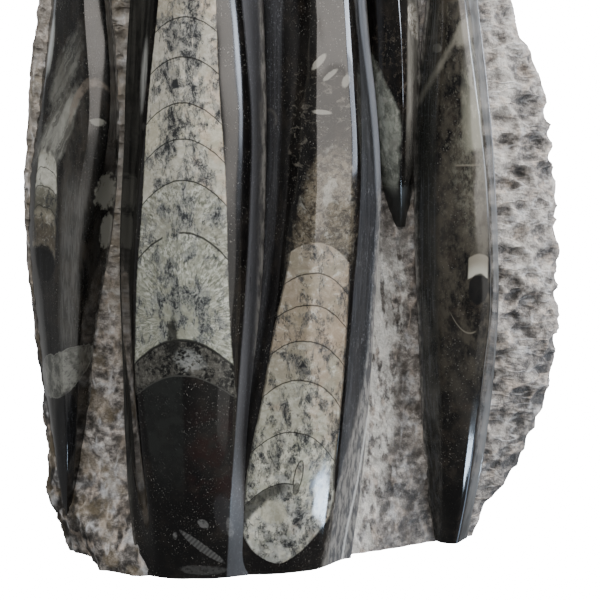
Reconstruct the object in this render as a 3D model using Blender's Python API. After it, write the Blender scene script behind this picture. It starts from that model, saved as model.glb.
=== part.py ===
"""Orthoceras tower: a block of black fossil limestone, carved so that the shells stand in tall polished
ridges, with pecked matrix between them and a sawn base that it stands on. Metres, +Z up, front towards -Y."""

import math

import bmesh
import bpy
from mathutils import Vector, noise

MM = 0.001
CENTRE = Vector((1.0, -2.5, 0.0))
BACK = 34.0
SPUR = 13.0
DOME = 12.0
MATRIX_TOP = 356.0
CROWN_FROM = 322.0
FRONT_SHARE = 0.58
MATRIX_COLUMNS = 70
MATRIX_ROWS = 52
SPIRE_ROWS = 28
SWELL = 0.02
PECK_PITCH = 13.0
PECK_DEPTH = 3.0

# The matrix at each height: left edge, right edge, and how far its front stands at left, middle and right.
MATRIX = (
    (-6, -86, 73, -25, -27, 5),
    (12, -93, 79, -25, -23, 3),
    (20, -98, 85, -23, -20, 2),
    (30, -96, 92, -20, -18, 0),
    (55, -98, 101, -14, -12, -3),
    (90, -101, 106, -10, -10, -5),
    (130, -103.5, 104, -9, -10, -6),
    (170, -100.5, 99, -9, -10, -6),
    (214, -94.5, 83, -9, -9, -6),
    (260, -82, 66, -8, -8, -5),
    (305, -63, 46, -5, -6, -4),
    (335, -46, 28, -2, -3, -2),
    (356, -36, 14, 0, 0, 0),
)

# Each spire at each height, across: left foot, left shoulder, crest, right shoulder, right foot;
# then how far forward: left foot, left shoulder, crest, right shoulder, right foot, and the back.
SPIRES = {
    "outer_left": (
        (16, -89.5, -88.5, -87, -86, -85.5, -8, -13, -15, -13, -9, 6),
        (45, -95.5, -91.5, -85, -82, -80, -2, -13, -21, -18, -9, 12),
        (85, -100.5, -95, -85, -79.2, -76, 4, -9, -23, -19.8, -8, 14),
        (130, -103.5, -97, -80.2, -74.2, -67.5, 4, -8, -24, -20.7, -8, 14),
        (170, -99.5, -92, -72.8, -65.4, -64.2, 5, -8, -24, -19.8, -8, 14),
        (214, -91.5, -86, -73.8, -66.2, -66.4, 5, -8, -23.5, -19.2, -8, 14),
        (270, -86, -82, -74, -70, -68, 5, -7, -17, -14, -6, 12),
        (322, -76, -75, -74, -73, -72, 0, -3, -4, -3, -2, 4),
    ),
    "left": (
        (-6, -54, -47, -36, -24, -14, -36, -37, -37, -36, -34, 12),
        (25, -58, -51, -37, -24, -13, -28, -39, -43, -42, -36, 16),
        (60, -62, -55, -37, -20, -13, -17, -38, -46, -41, -27, 18),
        (110, -64, -56, -38, -15.8, -10.5, -14, -38, -46, -39, -21, 20),
        (170, -61, -50, -37, -13.4, -9.3, -14, -37, -45, -38, -20, 20),
        (214, -58, -45, -36, -16.6, -9.5, -14, -36, -44, -37, -20, 20),
        (270, -52, -41, -34, -20, -13, -12, -32, -39, -33, -18, 20),
        (340, -41, -34, -30, -24, -18, -8, -20, -26, -21, -12, 14),
        (400, -27, -26, -26, -25, -25, -3, -5, -6, -5, -4, 0),
    ),
    "right": (
        (-6, -24, -18, -3, 10, 21, -34, -33, -31, -27, -18, 12),
        (12, -22, -17, -1, 13, 23, -36, -38, -38, -33, -18, 14),
        (50, -18, -14, 4, 18, 27.5, -30, -38, -43, -36, -15, 18),
        (100, -14, -6, 7, 22, 31, -21, -36, -44, -36, -14, 20),
        (150, -11, -1, 8.5, 25, 32.6, -18, -35, -43, -36, -14, 20),
        (214, -11, 1, 8.2, 21.4, 25.8, -18, -34, -42, -36, -14, 20),
        (270, -8, 2, 9, 18.6, 22.5, -16, -30, -36, -31.5, -12, 18),
        (330, -1, 4, 8, 14, 18, -9, -18, -22, -18, -8, 12),
        (372, 5, 6, 7, 8, 9, -3, -5, -6, -5, -4, 0),
    ),
    "wedge": (
        (129, 40, 41, 42, 43, 44, -8, -9, -10, -9, -8, 4),
        (150, 33, 36, 41, 44, 47, -8, -16, -21, -18, -8, 8),
        (190, 29, 33, 40.5, 44, 47, -10, -19, -26, -21, -10, 10),
        (230, 27, 31, 37, 41, 44, -10, -19, -26, -21, -10, 12),
        (275, 27, 31, 35, 37, 39, -8, -15, -18, -15, -8, 10),
        (308, 30, 31, 32, 33, 34, -2, -3, -4, -3, -2, 2),
    ),
    "outer_right": (
        (-6, 58, 61, 65.4, 67, 71, 5, 0.5, -0.5, 0, 4, 16),
        (20, 55, 60, 66.6, 68.7, 74, -4, -11, -13, -11.6, -2, 16),
        (55, 52.5, 58.5, 67.8, 71.4, 78, -9, -18, -20, -18.4, -6, 16),
        (100, 49, 56, 68, 75, 80, -10, -20, -23, -21, -8, 16),
        (150, 47, 54, 64, 72, 77, -10, -20, -24, -21.8, -8, 16),
        (175, 47, 54, 61, 68.5, 74.5, -10, -20, -24, -22.2, -8, 16),
        (214, 51, 54.5, 57.5, 62.5, 69, -10, -20, -23, -21.8, -8, 16),
        (265, 49, 51, 55, 58, 61, -8, -16, -18, -16.5, -6, 14),
        (330, 46, 47, 48, 49, 50, -1, -3, -4, -3, -2, 2),
    ),
}


def smooth_row(table, height):
    """The row of a table at a height between its own, eased through its neighbours."""
    last = len(table) - 2
    step = max(i for i in range(last + 1) if i == 0 or table[i][0] <= height)
    before = table[max(step - 1, 0)]
    start = table[step]
    end = table[step + 1]
    after = table[min(step + 2, last + 1)]
    span = end[0] - start[0]
    t = (height - start[0]) / span
    blend = (2 * t**3 - 3 * t**2 + 1, t**3 - 2 * t**2 + t, 3 * t**2 - 2 * t**3, t**3 - t**2)
    values = []
    for column in range(1, len(start)):
        slope_in = (end[column] - before[column]) / (end[0] - before[0]) * span
        slope_out = (after[column] - start[column]) / (after[0] - start[0]) * span
        values.append(
            blend[0] * start[column] + blend[1] * slope_in + blend[2] * end[column] + blend[3] * slope_out
        )
    return values


def tube(name, columns, rows, place):
    """A closed solid: a grid rolled up so that place(round, up) gives each point, with its ends filled."""
    mesh = bmesh.new()
    bmesh.ops.create_grid(mesh, x_segments=columns, y_segments=rows, size=0.5)
    for vert in mesh.verts:
        vert.co = (Vector(place(vert.co.x + 0.5, vert.co.y + 0.5)) - CENTRE) * MM
    bmesh.ops.remove_doubles(mesh, verts=mesh.verts, dist=1e-5)
    bmesh.ops.holes_fill(mesh, edges=[edge for edge in mesh.edges if edge.is_boundary])
    bmesh.ops.triangulate(mesh, faces=mesh.faces)
    bmesh.ops.recalc_face_normals(mesh, faces=mesh.faces)
    data = bpy.data.meshes.new(name)
    mesh.to_mesh(data)
    mesh.free()
    return bpy.data.objects.new(name, data)


def round_polygon(corners, turn):
    """The point a share of the way round a polygon whose corners are evenly shared out."""
    place = (turn % 1.0) * len(corners)
    first = int(place) % len(corners)
    return Vector(corners[first]).lerp(Vector(corners[(first + 1) % len(corners)]), place - int(place))


def spire(name, table):
    """One polished ridge, lofted from its foot to its tip."""
    low = table[0][0]
    high = table[-1][0]

    def place(turn, up):
        height = low + (high - low) * up
        row = smooth_row(table, height)
        feet, front, back = row[:5], row[5:10], row[10]
        inset = 0.22 * (feet[4] - feet[0])
        swell = SWELL * (feet[4] - feet[0])
        corners = [(feet[0] + inset, back), (feet[0], max(front[0] + 1, 2))]
        for i in range(5):
            corners.append((feet[i], front[i]))
            if i in (1, 2):
                across = (feet[i] + feet[i + 1]) / 2
                corners.append((across, (front[i] + front[i + 1]) / 2 - swell))
        corners.append((feet[4], max(front[4] + 1, 2)))
        corners.append((feet[4] - inset, back))
        x, y = round_polygon(corners, turn)
        return x, y, height

    return tube(name, 11, SPIRE_ROWS, place)


def peck(point):
    """How deep the pecking hammer has gone at a point, in millimetres."""
    cell = Vector((point[0], point[1] * 0.8, point[2] * 1.15)) / PECK_PITCH
    near, _ = noise.voronoi(cell)
    dish = min((near[1] - near[0]) * 1.4, 1.0)
    swell = noise.noise(cell * 0.35)
    return PECK_DEPTH * (dish - 0.5) * -0.8 + 2.2 * swell


def matrix():
    """The pecked block behind the ridges: upright, domed at the back, drawn in at the rim."""

    def place(turn, up):
        height = MATRIX[0][0] + (MATRIX_TOP - MATRIX[0][0]) * up
        left, right, front_left, front_middle, front_right = smooth_row(MATRIX, height)
        crown = math.sqrt(max(0.06, 1 - (max(0.0, height - CROWN_FROM) / (MATRIX_TOP - CROWN_FROM)) ** 2))
        middle = (left + right) / 2
        reach = (right - left) / 2 * crown
        back_share = 1 - FRONT_SHARE
        half_turns = turn / back_share if turn < back_share else 1 + (turn - back_share) / FRONT_SHARE
        angle = math.pi * half_turns
        across = math.copysign(abs(math.cos(angle)) ** 0.62, math.cos(angle))
        deep = math.copysign(abs(math.sin(angle)) ** 0.62, math.sin(angle))
        if across < 0:
            front = front_middle + (front_left - front_middle) * -across
            front -= SPUR * math.exp(-((height / 16) ** 2) - ((across + 0.72) / 0.2) ** 2)
        else:
            front = front_middle + (front_right - front_middle) * across
        taper = 1 - 0.45 * max(0.0, (height - 120) / (MATRIX_TOP - 120)) ** 2
        back = (BACK + DOME * (1 - across**2) * 0.5) * taper
        seam = 6.0
        depth = seam + crown * deep * (back - seam if deep > 0 else seam - front)
        point = Vector((middle + reach * across, depth, height))
        out = Vector((across * 0.8, deep, 0)).normalized()
        return point + out * -peck(point)

    return tube("matrix", MATRIX_COLUMNS, MATRIX_ROWS, place)


def join(body, other):
    """Fuse another solid into the body."""
    union = body.modifiers.new(other.name, "BOOLEAN")
    union.operation = "UNION"
    union.solver = "EXACT"
    union.object = other


def saw_flat(body, cutters):
    """Take off everything below the base."""
    mesh = bmesh.new()
    bmesh.ops.create_cube(mesh, size=1.0)
    bmesh.ops.scale(mesh, verts=mesh.verts, vec=(0.4, 0.3, 0.05))
    bmesh.ops.translate(mesh, verts=mesh.verts, vec=(0, 0, -0.025))
    data = bpy.data.meshes.new("saw")
    mesh.to_mesh(data)
    mesh.free()
    saw = bpy.data.objects.new("saw", data)
    hide(saw, cutters)
    cut = body.modifiers.new("saw", "BOOLEAN")
    cut.operation = "DIFFERENCE"
    cut.solver = "EXACT"
    cut.object = saw


def hide(helper, cutters):
    cutters.objects.link(helper)
    helper.hide_render = True
    helper.display_type = "WIRE"


def limestone():
    material = bpy.data.materials.new("fossil_limestone")
    material.use_nodes = True
    shader = material.node_tree.nodes["Principled BSDF"]
    shader.inputs["Base Color"].default_value = (0.12, 0.115, 0.11, 1)
    shader.inputs["Roughness"].default_value = 0.35
    return material


def main():
    for old in list(bpy.data.objects):
        bpy.data.objects.remove(old)
    piece = bpy.data.collections.new("orthoceras_sculpture")
    cutters = bpy.data.collections.new("cutters")
    bpy.context.scene.collection.children.link(piece)
    bpy.context.scene.collection.children.link(cutters)
    body = matrix()
    body.name = "orthoceras_stone"
    body.data.materials.append(limestone())
    piece.objects.link(body)
    for name, table in SPIRES.items():
        ridge = spire(name, table)
        hide(ridge, cutters)
        join(body, ridge)
    saw_flat(body, cutters)


main()
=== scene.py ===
# %% [markdown]
# # Orthoceras tower
# A carved tower of black fossil limestone. The mason left the shells standing in tall polished ridges and
# pecked away the stone between them, so the piece has two finishes: mirror-bright black stone with pale
# calcite shells in it, and rough grey matrix. This lesson builds both, then lights them beside a window.

# %% Load the measured stone
import math

import bmesh
import bpy
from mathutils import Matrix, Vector, noise


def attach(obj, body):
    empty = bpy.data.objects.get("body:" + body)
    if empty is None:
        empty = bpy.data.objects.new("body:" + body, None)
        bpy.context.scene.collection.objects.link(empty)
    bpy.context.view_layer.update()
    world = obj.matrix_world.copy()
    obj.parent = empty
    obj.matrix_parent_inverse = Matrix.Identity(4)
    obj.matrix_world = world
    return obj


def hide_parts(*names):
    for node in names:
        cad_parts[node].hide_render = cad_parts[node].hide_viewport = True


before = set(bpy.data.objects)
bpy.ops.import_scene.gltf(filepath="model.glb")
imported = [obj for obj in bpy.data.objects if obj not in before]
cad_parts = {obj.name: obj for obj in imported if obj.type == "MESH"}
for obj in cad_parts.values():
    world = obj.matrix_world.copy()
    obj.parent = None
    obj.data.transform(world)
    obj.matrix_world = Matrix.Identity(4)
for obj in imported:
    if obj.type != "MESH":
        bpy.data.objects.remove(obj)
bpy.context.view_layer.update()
MM = 0.001
CENTRE = Vector((1.0, -2.5, 0.0))

# %% [markdown]
# ## The camera
# The tower stands upright, and the eye is a little above its middle, close enough that the central
# ridges loom. A camera could also be aimed with a constraint. Its place and pitch are set directly here,
# because then the framing can be worked out from the size of the stone.

# %% Set up the camera
eye = bpy.data.cameras.new("eye")
eye.sensor_width = 36
eye.lens = 71.4
eye_stand = bpy.data.objects.new("eye", eye)
eye_stand.location = (0.003, -0.4555, 0.180)
eye_stand.rotation_euler = (math.radians(80), 0, 0)
bpy.context.scene.collection.objects.link(eye_stand)
bpy.context.scene.camera = eye_stand
print("eye at", tuple(round(v, 3) for v in eye_stand.location))


# %% [markdown]
# ## Keeping a shape
# Every piece here is worked as a bmesh and kept once it is done, so that it stands at the origin unturned
# and unscaled. There is no table: the stone is shown cut out on white, as in a catalogue.

# %% Keep a worked mesh
def new_object(name, mesh_in_work):
    """Keep the finished bmesh as an object standing at the origin."""
    data = bpy.data.meshes.new(name)
    mesh_in_work.to_mesh(data)
    mesh_in_work.free()
    made = bpy.data.objects.new(name, data)
    bpy.context.scene.collection.objects.link(made)
    return made


# %% [markdown]
# ## The rails
# Each ridge is a loft: a section with a few corners is carried up the stone, and every corner follows its
# own rail. The rails are given at a few heights only. A Bezier curve object could hold them, but an easing
# function through neighbouring heights keeps all the numbers in one table that can be read like a drawing.

# %% Write down the ridges, in millimetres
# height, then across: left foot, left shoulder, crest, right shoulder, right foot;
# then how far forward: left foot, left shoulder, crest, right shoulder, right foot, and the back.
RIDGES = {
    "outer_left_ridge": (
        (16, -89.5, -88.5, -87, -86, -85.5, -8, -13, -15, -13, -9, 6),
        (45, -95.5, -91.5, -85, -82, -80, -2, -13, -21, -18, -9, 12),
        (85, -100.5, -95, -85, -79.2, -76, 4, -9, -23, -19.8, -8, 14),
        (130, -103.5, -97, -80.2, -74.2, -67.5, 4, -8, -24, -20.7, -8, 14),
        (170, -99.5, -92, -72.8, -65.4, -64.2, 5, -8, -24, -19.8, -8, 14),
        (214, -91.5, -86, -73.8, -66.2, -66.4, 5, -8, -23.5, -19.2, -8, 14),
        (270, -86, -82, -74, -70, -68, 5, -7, -17, -14, -6, 12),
        (322, -76, -75, -74, -73, -72, 0, -3, -4, -3, -2, 4),
    ),
    "left_ridge": (
        (-6, -54, -47, -36, -24, -14, -36, -37, -37, -36, -34, 12),
        (25, -58, -51, -37, -24, -13, -28, -39, -43, -42, -36, 16),
        (60, -62, -55, -37, -20, -13, -17, -38, -46, -41, -27, 18),
        (110, -64, -56, -38, -15.8, -10.5, -14, -38, -46, -39, -21, 20),
        (170, -61, -50, -37, -13.4, -9.3, -14, -37, -45, -38, -20, 20),
        (214, -58, -45, -36, -16.6, -9.5, -14, -36, -44, -37, -20, 20),
        (270, -52, -41, -34, -20, -13, -12, -32, -39, -33, -18, 20),
        (340, -41, -34, -30, -24, -18, -8, -20, -26, -21, -12, 14),
        (400, -27, -26, -26, -25, -25, -3, -5, -6, -5, -4, 0),
    ),
    "right_ridge": (
        (-6, -24, -18, -3, 10, 21, -34, -33, -31, -27, -18, 12),
        (12, -22, -17, -1, 13, 23, -36, -38, -38, -33, -18, 14),
        (50, -18, -14, 4, 18, 27.5, -30, -38, -43, -36, -15, 18),
        (100, -14, -6, 7, 22, 31, -21, -36, -44, -36, -14, 20),
        (150, -11, -1, 8.5, 25, 32.6, -18, -35, -43, -36, -14, 20),
        (214, -11, 1, 8.2, 21.4, 25.8, -18, -34, -42, -36, -14, 20),
        (270, -8, 2, 9, 18.6, 22.5, -16, -30, -36, -31.5, -12, 18),
        (330, -1, 4, 8, 14, 18, -9, -18, -22, -18, -8, 12),
        (372, 5, 6, 7, 8, 9, -3, -5, -6, -5, -4, 0),
    ),
    "wedge_ridge": (
        (129, 40, 41, 42, 43, 44, -8, -9, -10, -9, -8, 4),
        (150, 33, 36, 41, 44, 47, -8, -16, -21, -18, -8, 8),
        (190, 29, 33, 40.5, 44, 47, -10, -19, -26, -21, -10, 10),
        (230, 27, 31, 37, 41, 44, -10, -19, -26, -21, -10, 12),
        (275, 27, 31, 35, 37, 39, -8, -15, -18, -15, -8, 10),
        (308, 30, 31, 32, 33, 34, -2, -3, -4, -3, -2, 2),
    ),
    "outer_right_ridge": (
        (-6, 58, 61, 65.4, 67, 71, 5, 0.5, -0.5, 0, 4, 16),
        (20, 55, 60, 66.6, 68.7, 74, -4, -11, -13, -11.6, -2, 16),
        (55, 52.5, 58.5, 67.8, 71.4, 78, -9, -18, -20, -18.4, -6, 16),
        (100, 49, 56, 68, 75, 80, -10, -20, -23, -21, -8, 16),
        (150, 47, 54, 64, 72, 77, -10, -20, -24, -21.8, -8, 16),
        (175, 47, 54, 61, 68.5, 74.5, -10, -20, -24, -22.2, -8, 16),
        (214, 51, 54.5, 57.5, 62.5, 69, -10, -20, -23, -21.8, -8, 16),
        (265, 49, 51, 55, 58, 61, -8, -16, -18, -16.5, -6, 14),
        (330, 46, 47, 48, 49, 50, -1, -3, -4, -3, -2, 2),
    ),
}
print(len(RIDGES), "ridges, the tallest", max(rows[-1][0] for rows in RIDGES.values()), "mm")


# %% Ease along a table of heights
def eased(table_rows, height):
    """The row of a table at any height, carried smoothly through its neighbours."""
    last = len(table_rows) - 2
    step = max(i for i in range(last + 1) if i == 0 or table_rows[i][0] <= height)
    before, start = table_rows[max(step - 1, 0)], table_rows[step]
    end, after = table_rows[step + 1], table_rows[min(step + 2, last + 1)]
    span = end[0] - start[0]
    t = (height - start[0]) / span
    row = []
    for column in range(1, len(start)):
        slope_in = (end[column] - before[column]) / (end[0] - before[0]) * span
        slope_out = (after[column] - start[column]) / (after[0] - start[0]) * span
        row.append(
            (2 * t**3 - 3 * t**2 + 1) * start[column]
            + (t**3 - 2 * t**2 + t) * slope_in
            + (3 * t**2 - 2 * t**3) * end[column]
            + (t**3 - t**2) * slope_out
        )
    return row


def ramp(value, low, high):
    """0 below low, 1 above high, and eased between."""
    t = min(max((value - low) / (high - low), 0.0), 1.0)
    return t * t * (3 - 2 * t)


print("left ridge at 200 mm:", [round(v, 1) for v in eased(RIDGES["left_ridge"], 200)[:5]])


# %% [markdown]
# ## Rolling a sheet into a stone
# Ridges and matrix both start as a flat grid that is rolled up into a tube, so one helper serves them all.
# Its seam is merged and its two ends are filled, which leaves a closed stone. Extruding a circle ring by
# ring would give the same faces, with more steps.

# %% Roll up a grid
def rolled(columns, rows, place):
    """A closed tube: place(round, up) gives each corner of the grid, in millimetres."""
    mesh = bmesh.new()
    bmesh.ops.create_grid(mesh, x_segments=columns, y_segments=rows, size=0.5)
    for vert in mesh.verts:
        vert.co = (Vector(place(vert.co.x + 0.5, vert.co.y + 0.5)) - CENTRE) * MM
    bmesh.ops.remove_doubles(mesh, verts=mesh.verts, dist=1e-6)
    bmesh.ops.holes_fill(mesh, edges=[edge for edge in mesh.edges if edge.is_boundary])
    bmesh.ops.recalc_face_normals(mesh, faces=mesh.faces)
    return mesh


def sawn_level(mesh, height=0.0):
    """Saw off what lies below a height, and close the cut."""
    everything = mesh.verts[:] + mesh.edges[:] + mesh.faces[:]
    bmesh.ops.bisect_plane(
        mesh, geom=everything, dist=1e-7, plane_co=(0, 0, height), plane_no=(0, 0, 1), clear_inner=True
    )
    bmesh.ops.holes_fill(mesh, edges=[edge for edge in mesh.edges if edge.is_boundary])
    bmesh.ops.recalc_face_normals(mesh, faces=mesh.faces)
    return mesh


# %% [markdown]
# ## The polished ridges
# A polished ridge has broad facets with softly rounded arrises, ground by hand and then buffed, and at its
# foot the wheel left a small hollow fillet that ends in a lip on the rough stone. A coarse cage with a
# Subdivision Surface gives such faces, and an edge crease along each rail says how tight its arris is: 1 is
# a knife edge, 0 melts away. Bevelling would need the same edges picked, and wouldn't let the facets swell.

# %% Cut the ridges
# For each side: how far its lip reaches out, higher up and at the foot of the stone, in millimetres, and
# what share of the flank its fillet takes.
LIPS = {
    "outer_left_ridge": ((0.0, 0.0, 0.05), (0.8, 1.2, 0.08)),
    "left_ridge": ((0.6, 3.4, 0.1), (2.6, 3.4, 0.32)),
    "right_ridge": ((0.0, 0.0, 0.05), (2.6, 3.8, 0.14)),
    "wedge_ridge": ((0.0, 0.0, 0.05), (2.4, 2.4, 0.2)),
    "outer_right_ridge": ((1.0, 1.5, 0.1), (0.5, 1.0, 0.06)),
}
# How tight the left shoulder, the crest and the right shoulder are, and how much the facets swell.
ARRISES = {
    "outer_left_ridge": (0.35, 0.75, 0.9, 0.03),
    "left_ridge": (0.35, 0.45, 0.15, 0.07),
    "right_ridge": (0.35, 0.7, 0.35, 0.03),
    "wedge_ridge": (0.3, 0.55, 0.3, 0.03),
    "outer_right_ridge": (0.35, 0.2, 0.78, 0.03),
}
CORNERS = 13


def ridge_corners(name, height):
    """The thirteen corners of a ridge's section at a height, from its back round by the left."""
    row = eased(RIDGES[name], height)
    feet, front, back = row[:5], row[5:10], row[10]
    width = feet[4] - feet[0]
    sides = []
    for side, foot, shoulder in ((0, 0, 1), (1, 4, 3)):
        high, low, rise = LIPS[name][side]
        reach = low + (high - low) * ramp(height, 20, 95)
        out = (reach * min(1.0, width / 22) + 0.05) * (1 if side else -1)
        x = feet[foot] + (feet[shoulder] - feet[foot]) * rise
        y = front[foot] + (front[shoulder] - front[foot]) * rise
        edge = (x + out, y + 0.3 + 0.25 * reach)
        behind = (x + out, max(edge[1] + 1, 2))
        sides.append([(feet[foot] - math.copysign(0.22 * width, out), back), behind, edge, (x, y)])
    swell = ARRISES[name][3]
    face = [(feet[1], front[1])]
    for start, end in ((1, 2), (2, 3)):
        length = math.hypot(feet[end] - feet[start], front[end] - front[start])
        middle = ((feet[start] + feet[end]) / 2, (front[start] + front[end]) / 2 - swell * length)
        face += [middle, (feet[end], front[end])]
    return sides[0] + face + sides[1][::-1]


def crease_rails(mesh, name):
    """Crease each edge that runs up a rail, and both end rings."""
    crease = mesh.edges.layers.float.new("crease_edge")
    left, crest, right = ARRISES[name][:3]
    creases = (0, 0, 0.95, 0.3, left, 0, crest, 0, right, 0.3, 0.95, 0, 0)
    low, high = RIDGES[name][0][0] * MM, RIDGES[name][-1][0] * MM
    for edge in mesh.edges:
        a, b = (vert.co for vert in edge.verts)
        if abs(a.z - b.z) < 1e-6:
            edge[crease] = 1.0 if min(a.z - low, high - a.z) < 1e-6 else 0.0
            continue
        place = a / MM + CENTRE
        for (x, y), tight in zip(ridge_corners(name, place.z), creases):
            if abs(place.x - x) + abs(place.y - y) < 0.01:
                edge[crease] = tight


def hand_polish(mesh):
    """Leave the gentle waves of hand work on the faces."""
    mesh.normal_update()
    for vert in mesh.verts:
        spot = vert.co / MM
        wave = noise.noise(Vector((spot.x / 9, spot.y / 9, spot.z / 26)))
        ripple = noise.noise(Vector((spot.x / 3.5, spot.y / 3.5, spot.z / 11 + 40)))
        vert.co += vert.normal * (0.3 * wave + 0.045 * ripple) * MM
    return mesh


def polished_ridge(name):
    """Loft the cage, subdivide it, polish it and saw its foot level."""
    low, high = RIDGES[name][0][0], RIDGES[name][-1][0]

    def place(turn, up):
        height = low + (high - low) * up
        x, y = ridge_corners(name, height)[round(turn * CORNERS) % CORNERS]
        return x, y, height

    cage = rolled(CORNERS, round((high - low) / 12), place)
    crease_rails(cage, name)
    rough = new_object(name + "_cage", cage)
    smooth = rough.modifiers.new("smooth", "SUBSURF")
    smooth.levels = smooth.render_levels = 3
    shape = rough.evaluated_get(bpy.context.evaluated_depsgraph_get()).to_mesh()
    fine = bmesh.new()
    fine.from_mesh(shape)
    rough.to_mesh_clear()
    bpy.data.objects.remove(rough)
    made = new_object(name, sawn_level(hand_polish(fine), 0.0002))
    made.data.shade_smooth()
    made.data.set_sharp_from_angle(angle=math.radians(50))
    return made


ridges = {name: polished_ridge(name) for name in RIDGES}
for name, made in ridges.items():
    print(name, len(made.data.polygons), "faces")

# %% [markdown]
# ## The pecked matrix
# The stone between and behind the ridges was taken down with a pick, blow by blow. Each blow leaves a
# shallow dish about as wide as a fingertip with a ragged crest round it, and the sides of the block are
# simply broken. Such relief is too deep for bump alone: it notches the outline. So the rolled sheet is made
# fine enough to move every point, and cell noise sets where the dishes lie.

# %% Write down the block, in millimetres
# height, then left edge, right edge, and how far its front stands at the left, middle and right.
BLOCK = (
    (-6, -86, 73, -25, -27, 5),
    (12, -93, 79, -25, -23, 3),
    (20, -98, 85, -23, -20, 2),
    (30, -96, 92, -20, -18, 0),
    (55, -98, 101, -14, -12, -3),
    (90, -101, 106, -10, -10, -5),
    (130, -103.5, 104, -9, -10, -6),
    (170, -100.5, 99, -9, -10, -6),
    (214, -94.5, 83, -9, -9, -6),
    (260, -82, 66, -8, -8, -5),
    (305, -63, 46, -5, -6, -4),
    (335, -46, 28, -2, -3, -2),
    (356, -36, 14, 0, 0, 0),
)
BACK, DOME, SPUR, SEAM = 34.0, 12.0, 13.0, 6.0
TOP, CROWN_FROM, FRONT_SHARE = 356.0, 322.0, 0.68


def block_point(turn, up):
    """A point of the block before it is pecked."""
    height = BLOCK[0][0] + (TOP - BLOCK[0][0]) * up
    left, right, front_left, front_middle, front_right = eased(BLOCK, height)
    crown = math.sqrt(max(0.06, 1 - (max(0.0, height - CROWN_FROM) / (TOP - CROWN_FROM)) ** 2))
    back_share = 1 - FRONT_SHARE
    angle = math.pi * (turn / back_share if turn < back_share else 1 + (turn - back_share) / FRONT_SHARE)
    across = math.copysign(abs(math.cos(angle)) ** 0.62, math.cos(angle))
    deep = math.copysign(abs(math.sin(angle)) ** 0.62, math.sin(angle))
    if across < 0:
        front = front_middle + (front_left - front_middle) * -across
        spur = ramp(across, -0.87, -0.8) * (1 - ramp(across, -0.62, -0.4))
        front -= SPUR * spur * math.exp(-((height / 15) ** 2))
    else:
        front = front_middle + (front_right - front_middle) * across
    taper = 1 - 0.45 * max(0.0, (height - 120) / (TOP - 120)) ** 2
    back = (BACK + DOME * (1 - across**2) * 0.5) * taper
    depth = SEAM + crown * deep * (back - SEAM if deep > 0 else SEAM - front)
    return (left + right) / 2 + (right - left) / 2 * crown * across, depth, height


# %% Peck it
# Three readings of the noise, this far aside, shake a point along its three axes. Blender's noise_vector does
# the same from offsets that it draws by the clock, so it would peck another stone on every run.
ASIDE = Vector((13.7, -5.2, 8.1)), Vector((-21.4, 17.9, 3.3)), Vector((6.6, 28.3, -19.5))


def dished(point, size):
    """One field of overlapping pick marks: how deep, and how near to the crest between two of them."""
    shake = Vector([noise.noise(point / 9.0 + aside) for aside in ASIDE]) * 2.4
    spot = point + shake
    near, middles = noise.voronoi(Vector((spot.x * 0.8, spot.y * 0.8, spot.z * 1.12)) / size)
    above = Vector((spot.x * 0.8, spot.y * 0.8, spot.z * 1.12)) / size - middles[0]
    bowl = (1 - ramp(near[0], 0.12, 0.78)) * min(max(1.0 + 1.2 * above.z, 0.35), 1.6)
    crest = 1 - ramp(near[1] - near[0], 0.0, 0.3)
    return bowl, crest


def pecked(point):
    """How deep the stone is cut at a point, in millimetres, and how hollow it is there, from 0 to 1."""
    x, y, z = point
    rim = min(ramp(x, 70, 80) + ramp(y, 2, 9), 1.0)
    ladder = ramp(-x, 54, 60) * ramp(z, 120, 175) * ramp(-y, 0, 4) * (1 - rim)
    bowl, crest = dished(point, 9.0 if rim > 0 else 5.2)
    lump = noise.noise(point / 4.6) * 0.7 + noise.noise(point / 2.1) * 0.35
    grit = noise.noise(point / 1.1) * 0.12
    swell = noise.noise(point / 24.0)
    picked = rim + ladder * 0.6
    coarse = picked * (1 - 0.45 * ramp(y, 2, 9)) * (0.55 + 0.45 * ramp(z, 40, 90))
    fine = (1 - picked) * 0.9
    depth = coarse * (2.3 * bowl - 1.0 * crest - 0.2 + 0.45 * lump) + fine * lump + 1.1 * swell + grit
    hollow = picked * (0.2 + bowl * 0.75 - crest * 0.45 + lump * 0.25) + (1 - picked) * (0.5 + 0.75 * lump)
    chipped = ramp(-x, 52, 62) * (1 - ramp(z, 40, 70))
    step = 2.2 * noise.noise(point / 15.0) + 10
    ledge = math.floor(step * 1.6) + ramp(step * 1.6 - math.floor(step * 1.6), 0.35, 0.65)
    depth += chipped * (1.5 * (ledge / 1.6 - 10) + 0.5 * lump)
    return depth, min(max(hollow, 0.0), 1.0)


def peck(mesh):
    """Drive every point of the block in along its normal, and mark how hollow it is."""
    mark = mesh.verts.layers.float.new("hollow")
    mesh.normal_update()
    for vert in mesh.verts:
        depth, vert[mark] = pecked(vert.co / MM + CENTRE)
        vert.co -= vert.normal * depth * MM
    return mesh


COLUMNS, ROWS = ((360, 268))
matrix = new_object("pecked_matrix", sawn_level(peck(rolled(COLUMNS, ROWS, block_point))))
matrix.data.shade_smooth()
matrix.data.set_sharp_from_angle(angle=math.radians(75))
print("matrix", len(matrix.data.polygons), "faces")

# %% [markdown]
# ## Writing finishes as sums
# A finish is a small calculation made at every point of the surface. Wiring its nodes one by one hides the
# arithmetic, so a `Term` wraps the output of a node and answers to +, -, * and /, each of which adds one
# Math node. A `Finish` owns the material and adds every other kind of node.

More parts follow.
